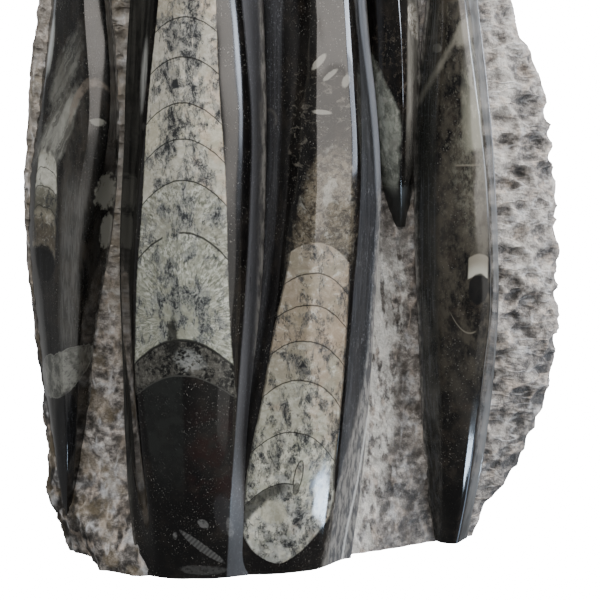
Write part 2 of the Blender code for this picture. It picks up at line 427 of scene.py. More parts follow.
# %% A term that does arithmetic
class Term:
    """A number or colour that varies over the stone."""

    def __init__(self, finish, socket):
        self.finish = finish
        self.socket = socket

    def math(self, operation, *values, clamp=False):
        settings = {"operation": operation, "use_clamp": clamp}
        return self.finish.node("ShaderNodeMath", settings, dict(enumerate(values)))

    def __add__(self, other):
        return self.math("ADD", self, other)

    def __radd__(self, other):
        return self.math("ADD", other, self)

    def __sub__(self, other):
        return self.math("SUBTRACT", self, other)

    def __rsub__(self, other):
        return self.math("SUBTRACT", other, self)

    def __mul__(self, other):
        return self.math("MULTIPLY", self, other)

    def __rmul__(self, other):
        return self.math("MULTIPLY", other, self)

    def __truediv__(self, other):
        return self.math("DIVIDE", self, other)

    def __rtruediv__(self, other):
        return self.math("DIVIDE", other, self)

    def __neg__(self):
        return self.math("MULTIPLY", self, -1.0)

    def __abs__(self):
        return self.math("ABSOLUTE", self)

    def __pow__(self, other):
        return self.math("POWER", self, other)

    def most(self, other):
        return self.math("MAXIMUM", self, other)

    def least(self, other):
        return self.math("MINIMUM", self, other)


# %% [markdown]
# ## A finish and its drawing tools
# Shells and veins are drawn in millimetres, across and up the face of the block, as a mason would mark
# them. A texture painted on the unwrapped faces would do too, but numbers stay sharp at any size. The tools
# are few: a soft step, a thin line, an oval, a rail, and noise of a given size.

# %% Make the finish
class Finish:
    """One material, with the tools that draw on it."""

    def __init__(self, name):
        self.material = bpy.data.materials.new(name)
        self.material.use_nodes = True
        self.nodes = self.material.node_tree.nodes
        self.links = self.material.node_tree.links
        self.shader = self.nodes["Principled BSDF"]
        self.place = self.node("ShaderNodeTexCoord", {}, {}, "Object")
        self.mm = self.vector("MULTIPLY_ADD", self.place, (1000.0,) * 3, tuple(CENTRE))
        split = self.node("ShaderNodeSeparateXYZ", {}, {0: self.mm}, "X")
        self.x = split
        self.y = Term(self, split.socket.node.outputs["Y"])
        self.z = Term(self, split.socket.node.outputs["Z"])
        self.fray = self.grain(3.0, 5.0, rough=0.65) - 0.5

    def node(self, kind, settings, values, output=0):
        """Add a node: its settings first, then the values or links of its sockets."""
        made = self.nodes.new(kind)
        for name, value in settings.items():
            if name == "stops":
                while len(made.color_ramp.elements) < len(value):
                    made.color_ramp.elements.new(1.0)
                for element, (position, colour) in zip(made.color_ramp.elements, value):
                    element.position, element.color = position, (*colour, 1.0)
            elif name == "interpolate":
                made.color_ramp.interpolation = value
            elif name == "bends":
                curve = made.mapping.curves[0]
                while len(curve.points) < len(value):
                    curve.points.new(0.5, 0.5)
                for point, place in zip(curve.points, value):
                    point.location = place
                made.mapping.update()
            else:
                setattr(made, name, value)
        for key, value in values.items():
            if isinstance(value, Term):
                self.links.new(value.socket, made.inputs[key])
            else:
                made.inputs[key].default_value = value
        return Term(self, made.outputs[output])

    def vector(self, operation, *values):
        return self.node("ShaderNodeVectorMath", {"operation": operation}, dict(enumerate(values)))

    def blend(self, share, first, second):
        """One colour over another."""
        colours = [c if isinstance(c, Term) else (*c, 1.0) for c in (first, second)]
        settings = {"data_type": "RGBA", "clamp_factor": True}
        return self.node("ShaderNodeMix", settings, {0: share, 6: colours[0], 7: colours[1]}, 2)

    def tint(self, colour, share, other):
        """A colour multiplied by another."""
        settings = {"data_type": "RGBA", "blend_type": "MULTIPLY", "clamp_factor": True}
        return self.node("ShaderNodeMix", settings, {0: share, 6: colour, 7: (*other, 1.0)}, 2)

    def step(self, value, at, blur):
        """0 below, 1 above, eased over the blur."""
        values = {0: value, 1: at - blur / 2, 2: at + blur / 2, 3: 0.0, 4: 1.0}
        return self.node("ShaderNodeMapRange", {"interpolation_type": "SMOOTHSTEP"}, values)

    def band(self, value, low, high, blur):
        return self.step(value, low, blur) * (1.0 - self.step(value, high, blur))

    def line(self, value, width, blur=0.25):
        """A line where the value passes through nought."""
        return 1.0 - self.step(abs(value), width / 2, blur)

    def oval(self, middle, size, lean=0.0, blur=0.25, ragged=0.0):
        """A patch on the face: 1 inside an oval of these half sizes, leaning by this many degrees."""
        turn = math.radians(lean)
        right, above = self.x - middle[0], self.z - middle[1]
        along = right * (math.sin(turn) / size[1]) + above * (math.cos(turn) / size[1])
        beside = right * (math.cos(turn) / size[0]) - above * (math.sin(turn) / size[0])
        reach = along * along + beside * beside
        if ragged:
            reach = reach + self.fray * ragged
        return 1.0 - self.step(reach, 1.0, blur)

    def rail(self, bends, low=-110.0, high=110.0):
        """A value that follows the height through a few points of (height, value)."""
        places = [(height / 420, (value - low) / (high - low)) for height, value in bends]
        share = self.node("ShaderNodeFloatCurve", {"bends": places}, {1: self.z / 420.0})
        return share * (high - low) + low

    def grain(self, size, detail=3.0, stretch=(1, 1, 1), rough=0.55, warp=0.0, at=None):
        """Soft noise whose lumps are about this many millimetres."""
        scale = tuple(1.0 / (size * s) for s in stretch)
        spot = self.vector("MULTIPLY", at or self.mm, scale)
        return self.node(
            "ShaderNodeTexNoise",
            {"noise_dimensions": "3D"},
            {"Vector": spot, "Scale": 1.0, "Detail": detail, "Roughness": rough, "Distortion": warp},
        )

    def wander(self, amount, size):
        """The place itself, shaken about by this many millimetres."""
        spot = self.vector("MULTIPLY", self.mm, (1.0 / size,) * 3)
        shake = self.node("ShaderNodeTexNoise", {}, {"Vector": spot, "Scale": 1.0, "Detail": 2.0}, "Color")
        return self.vector("MULTIPLY_ADD", shake, (amount,) * 3, self.mm)

    def cells(self, size, feature="F1", stretch=(1, 1, 1), at=None, jitter=1.0):
        """Distance in a pattern of cells of about this many millimetres."""
        scale = tuple(1.0 / (size * s) for s in stretch)
        spot = self.vector("MULTIPLY", at or self.mm, scale)
        settings = {"feature": feature}
        return self.node(
            "ShaderNodeTexVoronoi", settings, {"Vector": spot, "Scale": 1.0, "Randomness": jitter}, "Distance"
        )

    def shards(self, size, stretch=(1, 1, 1), at=None):
        """A random value for each cell, for crystals that catch the light differently."""
        spot = self.vector("MULTIPLY", at or self.mm, tuple(1.0 / (size * s) for s in stretch))
        values = {"Vector": spot, "Scale": 1.0}
        return self.node("ShaderNodeTexVoronoi", {"feature": "F1"}, values, "Color") * 1.0

    def turned(self, degrees):
        """The place, turned in the plane of the face."""
        values = {"Vector": self.mm, "Angle": math.radians(degrees)}
        return self.node("ShaderNodeVectorRotate", {"rotation_type": "Y_AXIS"}, values)

    def relief(self, height, distance, strength=1.0):
        """Bump from a height, its distance in millimetres."""
        values = {"Height": height, "Distance": distance * MM, "Strength": strength}
        return self.node("ShaderNodeBump", {}, values)

    def dress(self, colour, rough, normal=None):
        """Plug the finish in."""
        self.links.new(colour.socket, self.shader.inputs["Base Color"])
        if isinstance(rough, Term):
            self.links.new(rough.socket, self.shader.inputs["Roughness"])
        else:
            self.shader.inputs["Roughness"].default_value = rough
        if normal:
            self.links.new(normal.socket, self.shader.inputs["Normal"])
        return self.material


# %% [markdown]
# ## Colours
# Paint and stone charts give colours as they look on a screen, while the shader wants light. One small
# conversion keeps the readable numbers in the script.

# %% Mix the colours
def seen(red, green, blue):
    """A colour as it is seen, 0 to 255, turned into light."""
    return tuple(((c / 255 + 0.055) / 1.055) ** 2.4 if c > 10 else c / 3294.6 for c in (red, green, blue))


BLACK_STONE = seen(13, 12, 12)
SMOKE = seen(52, 50, 47)
WARM_SMOKE = seen(66, 58, 50)
HASH = seen(150, 147, 140)
VEIN = seen(38, 39, 43)
print("black stone reflects", round(BLACK_STONE[0], 4))

# %% [markdown]
# ## Black limestone
# Every ridge is cut from the same bed: near-black lime mud with drifting smoky clouds, and a fine hash of
# broken shell that shows as white flecks and short scratches. The walls of the valleys were only ground, so
# they stay streaked and a little dull, where the tops were buffed; their dull tone is also partly a painted
# reflection of the facing stone.

# %% The polished ground
def black_ground(finish, smoke=0.5):
    """Colour of the bare black stone."""
    cloud = finish.step(finish.grain(24, 5.0, (0.6, 1, 1.6)), 0.54, 0.3) * smoke
    colour = finish.blend(cloud, BLACK_STONE, SMOKE)
    warm = finish.step(finish.grain(8, 5.0, rough=0.65), 0.58, 0.24) * (0.6 * smoke)
    colour = finish.blend(warm, colour, WARM_SMOKE)
    crowd = finish.step(finish.grain(12, 3.0), 0.5, 0.24)
    dust = finish.step(finish.grain(0.7, 3.0, rough=0.7), 0.66, 0.1) * (0.12 + crowd * 0.4)
    colour = finish.blend(dust, colour, HASH)
    flecks = 1.0 - finish.step(finish.cells(1.7, stretch=(0.7, 1, 1.1)), 0.11, 0.1)
    colour = finish.blend(flecks * crowd * 0.75, colour, HASH)
    for lean in (35, -50):
        hair = finish.cells(4.2, stretch=(0.14, 1, 1.2), at=finish.turned(lean))
        colour = finish.blend((1.0 - finish.step(hair, 0.07, 0.06)) * crowd * 0.5, colour, HASH)
    return colour


def ground_streaks(finish):
    """Long marks of the grinding wheel that run up the stone."""
    fine = finish.grain(0.8, 3.0, (1, 1, 60))
    broad = finish.grain(2.4, 2.0, (1, 1, 40))
    return fine * 0.6 + broad * 0.4


def streaked(finish, colour, wall, dull=(60, 60, 63), dusty=1.0):
    """The walls of the valleys: a dull tone that is partly a painted reflection of the facing stone, streaks, and dust
    caught in the scratches.
    """
    streak = ground_streaks(finish)
    colour = finish.blend(wall * 0.7, colour, seen(*dull))
    colour = finish.blend(finish.step(streak, 0.54, 0.14) * wall * 0.22, colour, seen(118, 120, 126))
    grit = finish.step(finish.grain(0.9, 4.0, (0.9, 1, 1.4), 0.8), 0.61, 0.1) * wall
    patchy = (0.25 + finish.step(finish.grain(14, 4.0), 0.5, 0.2) * 0.45) * dusty
    return finish.blend(grit * patchy, colour, seen(150, 152, 158)), streak


# %% [markdown]
# ## Calcite shells
# An orthocone is a straight shell divided by domed walls, the septa. In section each septum is a thin dark
# arch, and the chambers between are filled with pale calcite, clouded grey and cracked where mud got in. One
# number does most of the work: how far along the shell a point lies, measured along the arches.

# %% Draw a shell
def along_shell(finish, left, right, drop, tilt=0.0):
    """Place across a shell, from -1 at its left wall to 1 at its right, and place along its arches."""
    middle = (left + right) * 0.5
    share = (finish.x - middle) / ((right - left) * 0.5)
    arch = finish.z + drop * share * share + share * tilt + finish.fray * 0.9
    return share, arch


def septa(finish, arch, places, width):
    """Thin dark arches at these places along the shell."""
    marks = None
    for place in places:
        mark = finish.line(arch - place, width)
        marks = mark if marks is None else marks.most(mark)
    return marks


def calcite(finish, base, crowd, grey=(120, 123, 122)):
    """Stained, cracked calcite: the crowd says how much mud is in it."""
    cloud = finish.grain(6.0, 7.0, (0.75, 1, 1.3), 0.72, 0.4)
    salt = finish.grain(0.8, 5.0, rough=0.75)
    milk = finish.grain(3.4, 6.0, (1, 1, 0.8), 0.7, 0.6)
    colour = finish.blend(finish.step(milk, 0.5, 0.26) * 0.8, finish.tint(base, 1.0, seen(214, 212, 206)), base)
    colour = finish.blend(finish.step(milk + (salt - 0.5) * 0.4, 0.62, 0.12) * 0.55, colour, seen(222, 220, 208))
    mud = 0.5 + (cloud - 0.5) * 2.0 + crowd * 0.16 + (salt - 0.5) * 0.3
    colour = finish.blend(finish.step(mud, 0.62, 0.2) * 0.55, colour, seen(*grey))
    heap = finish.step(finish.grain(4.0, 5.0, (1.1, 1, 1), 0.66, 0.6) * 0.6 + mud * 0.4, 0.6, 0.1)
    colour = finish.blend(heap * 0.4, colour, seen(96, 99, 104))
    crack = abs(finish.grain(2.2, 7.0, (0.8, 1, 1.5), 0.78, 0.5) - 0.5)
    branch = abs(finish.grain(5.5, 7.0, (0.6, 1, 1.7), 0.76, 0.4) - 0.5)
    ink = (1.0 - finish.step(crack, 0.03, 0.03)) * heap
    ink = ink.most((1.0 - finish.step(branch, 0.012, 0.016)) * finish.step(mud, 0.56, 0.12))
    blots = finish.step(finish.grain(1.5, 6.0, (0.8, 1, 1.4), 0.82) * 0.5 + mud * 0.5, 0.66, 0.07)
    return finish.blend(ink.most(blots * heap) * 0.92, colour, seen(34, 35, 38))


def fibres(finish, middle, size=24.0):
    """Crystals that grew out from a point, as fine rays, and the distance from that point."""
    right, above = finish.x - middle[0], finish.z - middle[1]
    angle = right.math("ARCTAN2", above, right)
    reach = (right * right + above * above) ** 0.5
    spot = finish.node("ShaderNodeCombineXYZ", {}, {0: angle * size, 1: reach * 0.45, 2: finish.y * 0.02}, "Vector")
    return finish.grain(1.0, 6.0, rough=0.75, warp=0.3, at=spot), reach


# %% [markdown]
# ## Small fossils at the foot
# Where the two big ridges run together there is a foot of plain black stone with little shells in it: a
# ribbed cone lying on a slant, two ovals and a grey lens. Both ridges meet there, so both finishes draw the
# same marks.

# %% Scatter the small fossils
def foot_shells(finish, colour):
    grey = seen(112, 112, 110)
    slant = (finish.x + 32.2) * math.cos(math.radians(41)) - (finish.z - 13.6) * math.sin(math.radians(41))
    cone = finish.oval((-32.2, 13.6), (1.5, 10.0), lean=-49, blur=0.5, ragged=0.8)
    ribs = finish.step((slant * 4.2).math("SINE", slant * 4.2), 0.0, 1.4)
    colour = finish.blend(cone * (0.3 + ribs * 0.35), colour, grey)
    speckle = finish.step(finish.grain(1.2, 4.0, rough=0.7), 0.47, 0.2)
    for middle, size, lean in (((-31.5, 23.4), (2.2, 1.5), 40), ((-21.9, 20.8), (1.3, 4.2), -8), ((-42.0, 18.3), (0.9, 1.6), 0)):
        patch = finish.oval(middle, size, lean, 0.6, 1.6)
        colour = finish.blend(patch * (0.2 + speckle * 0.55), colour, grey)
    lens = finish.oval((-32.2, 4.0), (8.5, 2.0), lean=3, blur=0.6, ragged=1.2)
    colour = finish.blend(lens * (0.2 + speckle * 0.4), colour, seen(84, 84, 82))
    veil_and_painted_streak = finish.oval((-24.0, 26.5), (8.0, 3.4), lean=78, blur=0.7, ragged=1.0)
    return finish.blend(veil_and_painted_streak * 0.35, colour, seen(58, 58, 60))


# %% [markdown]
# ## The hem of a ridge
# The lip at the foot of each ridge runs out of the black bed into the grey stone under it. It is polished
# too, but its colour is that of the matrix.

# %% Blend in the hem
def hemmed(finish, colour, past, reach=2.4):
    """Grey stone where the surface runs past the foot of the ridge, and how far it has taken over."""
    share = finish.step(past + finish.fray * 3.0, 1.2, reach) * 0.9
    mottle = finish.step(finish.grain(2.2, 5.0, (0.6, 1, 3.0), 0.7), 0.5, 0.2)
    grey = finish.blend(mottle, seen(72, 69, 66), seen(146, 142, 135))
    return finish.blend(share, colour, grey), share


# %% [markdown]
# ## The left ridge
# The finest shell of the block runs up this ridge. Its upper chambers are cream and grey with dark veins,
# the two lowest are greenish and full of rays, and below the last wall the living chamber is packed with
# black mud.

# %% Finish the left ridge
def left_ridge_stone():
    f = Finish("left_ridge_stone")
    left = f.rail([(60, -56.6), (85, -55.7), (115, -54.0), (140, -51.6), (172, -49.4), (210, -44.8), (300, -36.8), (394, -26.5)])
    right = f.rail([(60, -18.0), (85, -20.3), (106, -21.3), (148, -22.0), (185, -24.0), (210, -24.7), (300, -25.4), (394, -25.9)])
    drop = f.rail([(60, 9.4), (93, 10.6), (131, 9.4), (163, 7.8), (204, 4.6), (300, 3.0), (400, 1.5)], 0.0, 20.0)
    share, arch = along_shell(f, left, right, drop)
    share = share + f.fray * 0.05
    inside = 1.0 - f.step(abs(share), 1.0, 0.035)

    tone = f.node(
        "ShaderNodeValToRGB",
        {
            "interpolate": "CONSTANT",
            "stops": (
                (0.0, seen(164, 166, 151)), (0.152, seen(172, 172, 158)), (0.225, seen(204, 201, 186)),
                (0.282, seen(214, 209, 189)), (0.331, seen(210, 205, 190)), (0.393, seen(203, 198, 184)),
                (0.446, seen(199, 191, 172)), (0.5, seen(196, 191, 174)), (0.56, seen(202, 194, 175)),
                (0.64, seen(194, 188, 171)), (0.74, seen(197, 190, 171)),
            ),
        },
        {0: (arch - 93.0) / 250.0},
        "Color",
    )
    upper = f.step(arch, 149.2, 1.0)
    in_lowest = f.band(arch, 92.9, 131.0, 0.6)
    in_second = f.band(arch, 131.0, 149.2, 0.6)
    low_rays, low_reach = fibres(f, (-38.0, 101.0))
    high_rays, high_reach = fibres(f, (-38.0, 127.0), 16.0)
    rays = low_rays * in_lowest + high_rays * in_second
    outward = f.step(low_reach, 9.0, 10.0) * in_lowest + f.step(high_reach, 9.0, 8.0) * in_second
    flow = outward * (0.4 + f.step(f.grain(5, 4.0), 0.5, 0.2) * 0.6)
    colour = f.blend(f.step(rays, 0.53, 0.08) * flow * 0.8, tone, seen(222, 223, 212))
    colour = f.blend((1.0 - f.step(rays, 0.46, 0.08)) * flow * 0.7, colour, seen(92, 97, 88))
    edge_warm = f.step(f.grain(6, 4.0) + share * 0.18, 0.66, 0.16) * upper
    colour = f.blend(edge_warm * 0.6, colour, seen(224, 204, 182))
    heart = f.oval((-38.5, 111.0), (8.5, 13.0), blur=1.2, ragged=1.6)
    brow = f.line(f.oval((-38.0, 104.0), (7.5, 6.5), 0, 1.4) - 0.5, 0.7, 0.5) * f.step(f.z, 102, 6)
    horns = f.line(abs(f.x + 37.5 + f.fray * 6) - (f.z - 86.0) * 0.22 - 4.0, 2.4, 2.0) * f.band(f.z, 92, 112, 6)
    core = f.oval((-39.0, 140.0), (7.5, 7.0), blur=1.2, ragged=1.6)
    crowd = (1.0 - f.step(abs(share + 0.08), 0.66, 0.8)) * upper * 1.3
    crowd = crowd.most(heart * 0.75).most(core * 0.8).most(brow * 1.5).most(horns * 1.2)
    colour = calcite(f, colour, crowd)
    walls = septa(f, arch, (149.2, 163.4, 175.7, 191.2, 204.5), 0.5)
    broken = f.line(arch - 131.0, 0.8) * (1.0 - f.oval((-41.0, 129.0), (3.2, 4.0), blur=0.4))
    pace = (arch - 204.5) * (0.076 + (arch - 204.5) * 0.00022)
    young = f.line((pace.math("FRACT", pace + 0.5) - 0.5) * 11.0, 0.45) * f.step(arch, 206, 1)
    colour = f.blend(walls.most(broken).most(young) * 0.85, colour, seen(34, 33, 32))

    ground = black_ground(f, 0.35)
    crescent = inside * f.band(arch, 80.2, 92.9, 0.7)
    plain = 1.0 - f.step(f.x, -46.0, 9.0)
    flinty = f.blend(f.step(f.grain(5.0, 6.0, rough=0.7) + plain * 0.05, 0.54, 0.16), seen(24, 24, 23), seen(82, 80, 74))
    flinty = f.blend(f.step(f.grain(1.2, 6.0, rough=0.85), 0.56, 0.1) * 0.45, flinty, seen(140, 139, 130))
    crystal = f.oval((-35.5, 85.5), (5.5, 3.6), lean=20, blur=1.4, ragged=3.0)
    shard = f.step(f.shards(1.1, (1.5, 1, 0.8), f.wander(3.0, 2.0)) * 0.5 + f.grain(1.6, 5.0) * 0.8, 0.66, 0.2)
    flinty = f.blend(crystal * shard * 0.5, flinty, seen(160, 162, 158))
    living = inside * (1.0 - f.step(arch, 80.2, 0.7)) * f.step(f.z, 28, 22)
    slate = f.band(f.x - f.fray * 2, f.rail([(20, -46), (50, -51), (85, -53)]), -37.8, 1.6) * f.step(f.z + f.fray * 14, 40, 26)
    slate = slate.most(f.band(f.x, -29.0, -21.0, 4.0) * f.band(f.z + f.fray * 10, 48.0, 80.0, 10) * 0.3)
    rust = f.step(f.grain(9, 5.0, rough=0.65), 0.5, 0.2) * f.band(f.x, -36, -20, 8) * f.band(f.z, 30, 66, 14)
    mud = f.blend(slate * (0.55 + f.step(f.grain(4, 5.0), 0.5, 0.2) * 0.35), ground, seen(38, 40, 38))
    scratch = f.cells(5.0, stretch=(0.1, 1, 1.4), at=f.turned(38))
    scratch = (1.0 - f.step(scratch, 0.09, 0.07)) * f.band(f.z, 42, 82, 14) * f.step(f.fray, 0.0, 0.1)
    mud = f.blend(scratch * 0.5, mud, seen(128, 130, 126))
    mud = f.blend(rust * 0.5, mud, seen(40, 19, 17))
    ground = f.blend(living, ground, mud)
    ground = foot_shells(f, ground)
    pale = inside * f.step(arch, 92.9, 0.5)
    siphon = f.oval((-41.2, 94.0), (2.1, 6.8), blur=1.2, ragged=3.4)
    stone = f.blend(crescent, ground, flinty)
    stone = f.blend(pale, stone, colour)
    rim_dark = f.line(arch - 92.9, 1.1, 0.5) * inside
    rim_grey = f.line(arch - 80.0, 0.5, 0.4) * inside * 0.6
    stone = f.blend(siphon.most(rim_dark) * 0.9, stone, seen(30, 30, 28))
    stone = f.blend(rim_grey, stone, seen(80, 80, 76))

    wall = f.step(f.x - f.rail([(0, -24), (60, -19.8), (110, -15.9), (140, -14.2), (170, -13.5), (190, -14.8), (214, -16.7), (300, -21), (400, -25)]), 0.5, 1.0)
    # Painted reflection in part: the dull tone of the right wall stands for the facing ridge mirrored in it.
    stone, streak = streaked(f, stone, wall * (0.35 + f.step(f.z, 66, 40) * 0.65), (112, 112, 115), 1.5)
    # Painted reflection: the left wall past the shoulder is tinted grey in streaks, as if it mirrored the stone beside
    # it.
    far_wall_reflection = 1.0 - f.step(f.x - left, -2.0, 3.0)
    reflection_streaks = f.step(f.grain(3.0, 4.0, (0.8, 1, 14)), 0.5, 0.24)
    stone = f.blend(far_wall_reflection * 0.8, stone, f.blend(reflection_streaks, seen(34, 34, 32), seen(62, 61, 57)))
    # Painted reflection: a soft pale streak just past the left shoulder, standing for light caught in the polish.
    veil_and_painted_streak = f.oval((-51.0, 185.0), (1.3, 11.0), 5, 1.9, 1.0) * (0.45 + reflection_streaks * 0.55)
    stone = f.blend(veil_and_painted_streak * 0.6, stone, seen(206, 206, 200))
    hem = f.rail([(0, -54.5), (25, -58.5), (60, -62.6), (110, -64.6), (170, -61.6), (214, -58.6), (270, -52.6), (340, -41.5), (400, -28)])
    stone, worn = hemmed(f, stone, hem - f.x - 0.8)
    foot = f.rail([(0, -14), (60, -13), (110, -10.5), (170, -9.3), (214, -9.5), (270, -13), (340, -19), (400, -26)])
    stone, dusty = hemmed(f, stone, f.x - foot + 2.2 - (1.0 - f.step(f.z, 62, 40)) * 5.0, 3.0)
    worn = worn + dusty * 0.5
    satin = f.step(f.x - right, 0.0, 2.0) * f.step(f.z, 110, 50)
    rough = 0.085 + wall * (0.08 + streak * 0.16 + (1.0 - f.step(f.z, 96, 30)) * 0.3) + pale * 0.04 + satin * 0.07 + f.fray * 0.05 + worn * 0.25
    height = streak * wall * 0.5 + f.grain(12, 2.0) * 0.5
    return f.dress(stone, rough, f.relief(height, 0.12, 0.5))


# %% [markdown]
# ## The right ridge
# A second shell lies nearer the foot. It ends in a blunt rounded chamber at the bottom, with half a wall
# and the almond of its siphuncle, and its top breaks off in a tangle of brown and white calcite.

# %% Finish the right ridge
def right_ridge_stone():
    f = Finish("right_ridge_stone")
    left = f.rail([(5, -4.5), (8, -10.5), (13, -15.0), (20, -17.6), (26, -17.2), (47, -14.3), (69, -9.8), (95, -5.3), (121, 0.1), (135, 1.5)])
    right = f.rail([(5, -3.5), (8, 2.0), (12, 6.5), (18, 11.5), (24, 15.5), (45, 16.9), (65, 18.9), (78, 19.9), (95, 20.9), (116, 21.8), (135, 22.0)])
    drop = f.rail([(20, 12.5), (58, 10.7), (77, 9.0), (92, 7.9), (105, 7.2), (127, 5.5)], 0.0, 20.0)
    share, arch = along_shell(f, left, right, drop, tilt=2.0)
    share = share + f.fray * 0.06
    whole = f.band(arch, 4.5, 127.0, 0.5) * f.step(f.z, 5.2, 0.5)
    inside = (1.0 - f.step(abs(share), 1.0, 0.04)) * whole
    tone = f.node(
        "ShaderNodeValToRGB",
        {
            "interpolate": "CONSTANT",
            "stops": (
                (0.0, seen(208, 210, 203)), (0.266, seen(206, 206, 190)), (0.45, seen(196, 194, 178)),
                (0.601, seen(180, 173, 156)), (0.715, seen(182, 167, 147)), (0.818, seen(180, 166, 147)),
                (0.908, seen(172, 161, 144)),
            ),
        },
        {0: arch / 128.0},
        "Color",
    )
    low = 1.0 - f.step(arch, 60.0, 30.0)
    colour = f.blend(f.step(f.grain(9, 4.0), 0.54, 0.2) * (0.15 + low * 0.35), tone, seen(160, 166, 140))
    colour = f.blend(f.step(f.grain(7, 4.0) + share * 0.14, 0.6, 0.16) * 0.5, colour, seen(196, 174, 152))
    colour = f.blend(f.step(f.grain(4.6, 4.0, (0.8, 1, 1.3)), 0.5, 0.14) * low * 0.8, colour, seen(244, 243, 226))
    crowd = (1.0 - f.step(abs(share + 0.1), 0.4, 0.8)) * (0.55 + low * 0.4)
    edges = f.step(abs(share), 0.7, 0.4) * (0.3 + low * 0.5)
    bottom = (1.0 - f.step(f.z, 24, 10)) * 0.75
    colour = calcite(f, colour, crowd.most(edges).most(bottom) + low * 0.25 - 0.05, (88, 90, 90))
    colour = f.blend(f.step(f.grain(4.4, 4.0), 0.58, 0.12) * (1.0 - f.step(f.z, 44, 20)) * 0.5, colour, seen(214, 216, 208))
    window_patch = f.oval((-6.0, 27.0), (5.0, 4.6), blur=0.5, ragged=2.2)
    colour = f.blend(window_patch * 0.6, colour, seen(204, 201, 178))
    under = arch - 38.3 + f.fray * 2.0
    shadow = (1.0 - f.step(under, 0.0, 0.8)) * f.step(under + 3.4 - share * 4.4, 0.0, 3.0) * (1.0 - f.step(share, -0.05, 0.4))
    colour = f.blend(shadow * 0.85, colour, seen(56, 56, 53))
    walls = septa(f, arch, (58.1, 77.5, 91.8, 104.8, 116.3), 0.5)
    half = f.line(arch - 38.3, 0.5) * (1.0 - f.step(share, 0.12, 0.05))
    almond = f.oval((3.4, 41.4), (1.7, 6.4), lean=11, blur=0.3) - f.oval((3.4, 41.4), (1.25, 5.8), lean=11, blur=0.3)
    plug = f.oval((2.6, 36.5), (1.3, 2.6), lean=11, blur=0.5)
    skin = f.line(abs(share) - 0.985, 0.035, 0.02)
    marks = walls.most(half).most(almond).most(plug * 0.8).most(skin * 0.7)
    colour = f.blend(marks * 0.85, colour, seen(36, 34, 32))

    ground = black_ground(f, 0.5)
    side = f.band(f.x + f.fray * 8, f_edge(f, -1), f_edge(f, 1), 4.0)
    tangle = side * f.band(f.z + f.fray * 16, 122.0, 158.0, 14.0)
    wisps = f.grain(4.2, 8.0, (1, 1, 0.8), 0.78, 1.0)
    murk = f.blend(f.step(wisps, 0.5, 0.2), seen(54, 48, 41), seen(126, 116, 98))
    murk = f.blend(f.step(f.grain(1.6, 8.0, rough=0.82, warp=0.8), 0.56, 0.12) * 0.6, murk, seen(176, 170, 154))
    murk = f.blend(f.step(f.grain(6.0, 4.0, warp=0.6), 0.62, 0.1) * 0.5, murk, seen(196, 194, 182))
    ink = 1.0 - f.step(abs(f.grain(3.6, 6.0, (1, 1, 0.8), 0.74, 0.4) - 0.5), 0.014, 0.02)
    murk = f.blend(ink * 0.45, murk, seen(44, 40, 36))
    ground = f.blend(tangle * 0.9, ground, murk)
    smudge = f.step(f.grain(3.0, 6.0, (1.4, 1, 0.8), 0.75, 0.8), 0.6, 0.12) * f.band(f.x, 0, 22, 5) * f.band(f.z, 150, 186, 14)
    ground = f.blend(smudge * 0.45, ground, seen(140, 134, 122))
    for middle, size, lean in (((10.5, 189.6), (1.1, 3.6), 42), ((14.5, 185.2), (0.9, 3.0), 52), ((20, 183.0), (1.3, 2.4), 20), ((11.5, 172.5), (3.6, 0.8), 5)):
        ground = f.blend(f.oval(middle, size, lean, 0.8, 1.8) * 0.6, ground, seen(172, 168, 156))
    ring = f.line(f.oval((-7.5, 169.5), (3.0, 3.6), 10, 1.6) - 0.5, 0.55, 0.4) * f.step(f.z + f.x * 0.4, 165.5, 3)
    ground = f.blend(ring * 0.6, ground, seen(150, 142, 130))
    ground = foot_shells(f, ground)
    stone = f.blend(inside, ground, colour)
    wall = f.step(f.x - f.rail([(0, 14), (50, 18.5), (100, 22.2), (150, 25.2), (214, 23.4), (300, 17), (372, 8)]), 0.6, 1.0)
    stone, streak = streaked(f, stone, wall * (1.0 - inside) * 0.85, (30, 30, 32), 1.2)
    valley = 1.0 - f.step(f.x - f.rail([(0, -20), (50, -16), (100, -8), (150, -3), (214, -1), (300, 2)]), -1.0, 2.4)
    # Painted reflection in part: the dull tone of the left wall stands for the facing ridge mirrored in it.
    stone = streaked(f, stone, valley * (1.0 - inside) * f.step(f.z, 76, 60), (72, 72, 74), 1.4)[0]
    hem = f.rail([(0, 11.5), (18, 14.5), (34, 17.8), (47, 21.5), (70, 27.4), (100, 30.4), (150, 32.4), (214, 26), (270, 22.6), (330, 18), (372, 9)])
    stone, worn = hemmed(f, stone, f.x - hem + 0.6)
    # Painted reflection: a pale blue-white line along the right lip of the upper ridge, standing for light caught in
    # the polish.
    lip = f.x - f.rail([(100, 31.0), (150, 32.6), (176, 30.4), (205, 26.4), (270, 22.5)])
    stone = f.blend(f.band(lip, -0.9, 1.6, 1.2) * f.step(f.z, 150, 24) * 0.6, stone, seen(206, 212, 224))
    # Painted highlight: a pale line along the right foot, low down, standing for light caught on the polish.
    painted_foot_highlight = f.line(f.x - f.rail([(0, 20.4), (12, 22.0), (30, 25.8), (54, 29.6)]) + f.fray, 0.7, 0.6)
    stone = f.blend(painted_foot_highlight * (1.0 - f.step(f.z, 60, 12)) * 0.7, stone, seen(214, 214, 210))
    rough = 0.075 + wall * (0.3 + streak * 0.14) + inside * 0.03 + f.fray * 0.05 + worn * 0.25
    height = streak * wall * 0.5 + f.grain(12, 2.0) * 0.5
    return f.dress(stone, rough, f.relief(height, 0.12, 0.5))


def f_edge(finish, side):
    """The sides of the tangle above the right shell."""
    if side < 0:
        return finish.rail([(120, 0.5), (146, 6.0), (160, 11.0)])
    return finish.rail([(120, 23.0), (160, 22.0)])


# %% [markdown]
# ## The outer ridges
# The outer ridges cut their shells on a slant, so these show as pale smears and crescents rather than whole
# cones. They are the same black stone with other marks, and nothing in them has a hard edge.

